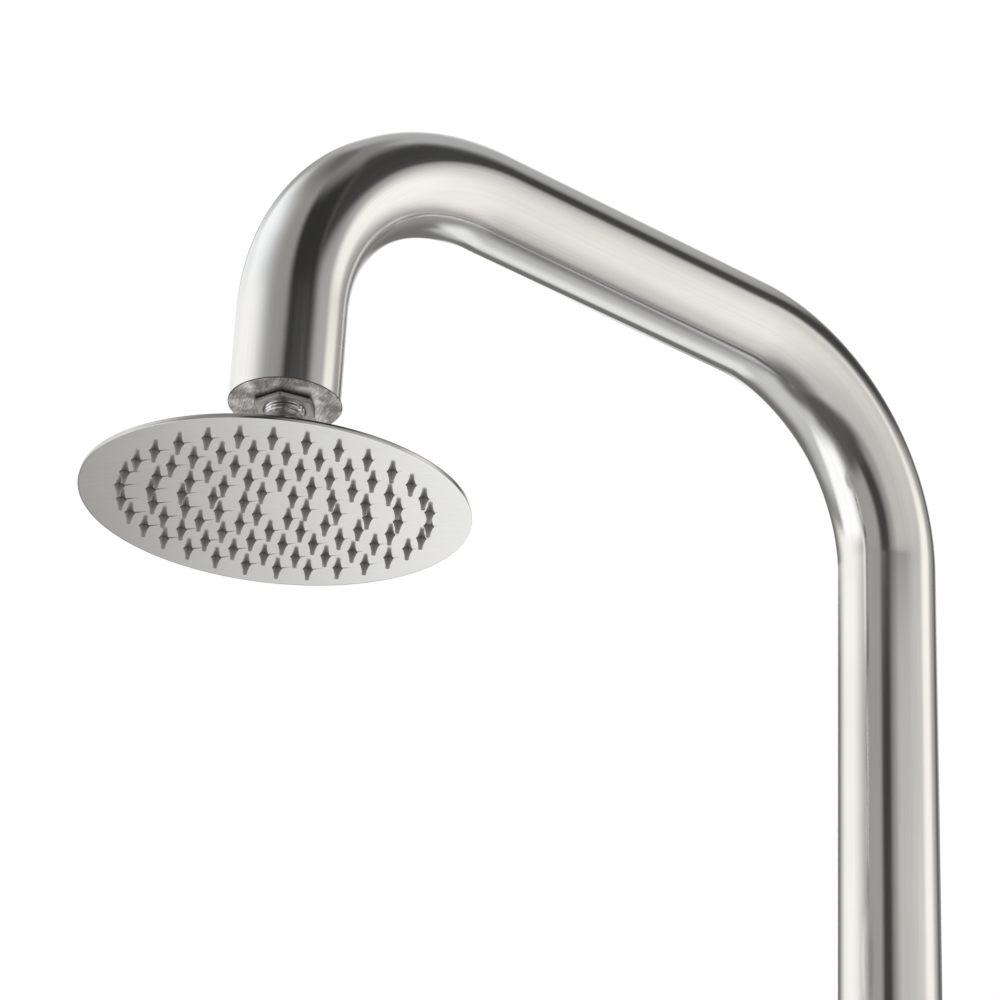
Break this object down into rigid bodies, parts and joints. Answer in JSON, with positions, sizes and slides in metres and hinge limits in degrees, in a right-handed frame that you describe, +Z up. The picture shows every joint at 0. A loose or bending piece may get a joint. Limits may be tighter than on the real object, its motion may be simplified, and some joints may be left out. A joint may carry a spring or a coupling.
{
  "type": "outdoor shower post",
  "caption": "Free-standing round steel post that bends over to a thin round shower head on a ball joint, with a lever mixer in its side and two water inlets at its foot.",
  "frame": {"origin": "on the ground, under the post's axis, at the underside of the floor plate", "axes": "+Z up along the post, the arm reaches towards -Y, +X to the right of someone who stands under the head and faces the post's lever"},
  "size_m": [0.22, 0.6575, 2.2799],
  "materials": {
    "brushed_tube": "brushed along the tube",
    "brushed_plate": "brushed, semi-bright",
    "turned_steel": "turned, matt",
    "bright_chrome": "polished",
    "bare_brass": "machined",
    "black_rubber": "matt",
    "grey_silicone": "soft matt",
    "white_plastic": "moulded",
    "white_ceramic": "lapped"
  },
  "bodies": {
    "post": {"floor_plate": "brushed_plate", "foot_spigot": "turned_steel", "foot_screws": "bright_chrome", "foot_rose": "brushed_plate", "post_tube": "brushed_tube", "end_plug": "turned_steel", "hot_elbow": "bare_brass", "cold_elbow": "bare_brass", "inlet_gaskets": "black_rubber", "inlet_saddles": "turned_steel", "inlet_locknuts": "bright_chrome", "hot_hose": "black_rubber", "cold_hose": "black_rubber", "hot_fitting": "bare_brass", "cold_fitting": "bare_brass", "supply_ferrules": "turned_steel", "mixer_body": "bare_brass", "riser_fitting": "bare_brass", "riser_hose": "black_rubber", "riser_ferrules": "turned_steel", "valve_bushing": "bare_brass", "valve_trim": "brushed_plate", "clamp_nut": "bare_brass", "cartridge_seals": "black_rubber", "cartridge_base": "white_plastic", "cartridge_housing": "white_plastic", "retaining_nut": "bare_brass", "fixed_disc": "white_ceramic", "hex_bush": "bright_chrome", "bush_gasket": "black_rubber", "swivel_body": "bright_chrome", "strainer": "turned_steel", "swivel_nut": "bright_chrome"},
    "ball_seat": {"seat_ring": "white_plastic"},
    "head": {"ball_stem": "bright_chrome", "stem_seal": "black_rubber", "head_boss": "brushed_plate", "back_plate": "brushed_plate", "spray_plate": "brushed_plate", "nozzle_mat": "grey_silicone"},
    "turret": {"spindle_carrier": "white_plastic", "pivot_pin": "turned_steel", "ball_dome": "bright_chrome"},
    "lever": {"spindle": "bare_brass", "handle_hub": "brushed_plate", "lever_rod": "brushed_plate", "grub_screw": "turned_steel", "index_plug": "white_plastic"},
    "upper_disc": {"disc_carriage": "white_plastic", "moving_disc": "white_ceramic"}
  },
  "joints": [
    {"name": "head_swivel", "type": "hinge", "parent": "post", "child": "ball_seat", "pos_m": [0, -0.446, 2.041], "axis": [0, 0, 1], "continuous": true},
    {"name": "head_tilt", "type": "hinge", "parent": "ball_seat", "child": "head", "pos_m": [0, -0.446, 2.041], "axis": [0, 1, 0], "range_deg": [-17.6, 12.4]},
    {"name": "temperature_turn", "type": "hinge", "parent": "post", "child": "turret", "pos_m": [0, -0.04, 1.1], "axis": [0, -1, 0], "range_deg": [-45, 45]},
    {"name": "lever_lift", "type": "hinge", "parent": "turret", "child": "lever", "pos_m": [0, -0.04, 1.1], "axis": [-1, 0, 0], "range_deg": [0, 25]},
    {"name": "disc_slide", "type": "slide", "parent": "turret", "child": "upper_disc", "axis": [0, 0, -1], "range_m": [0, 0.003]}
  ],
  "couplings": [
    {"joint": "disc_slide", "follows": "lever_lift", "m_per_rad": 0.00686}
  ]
}
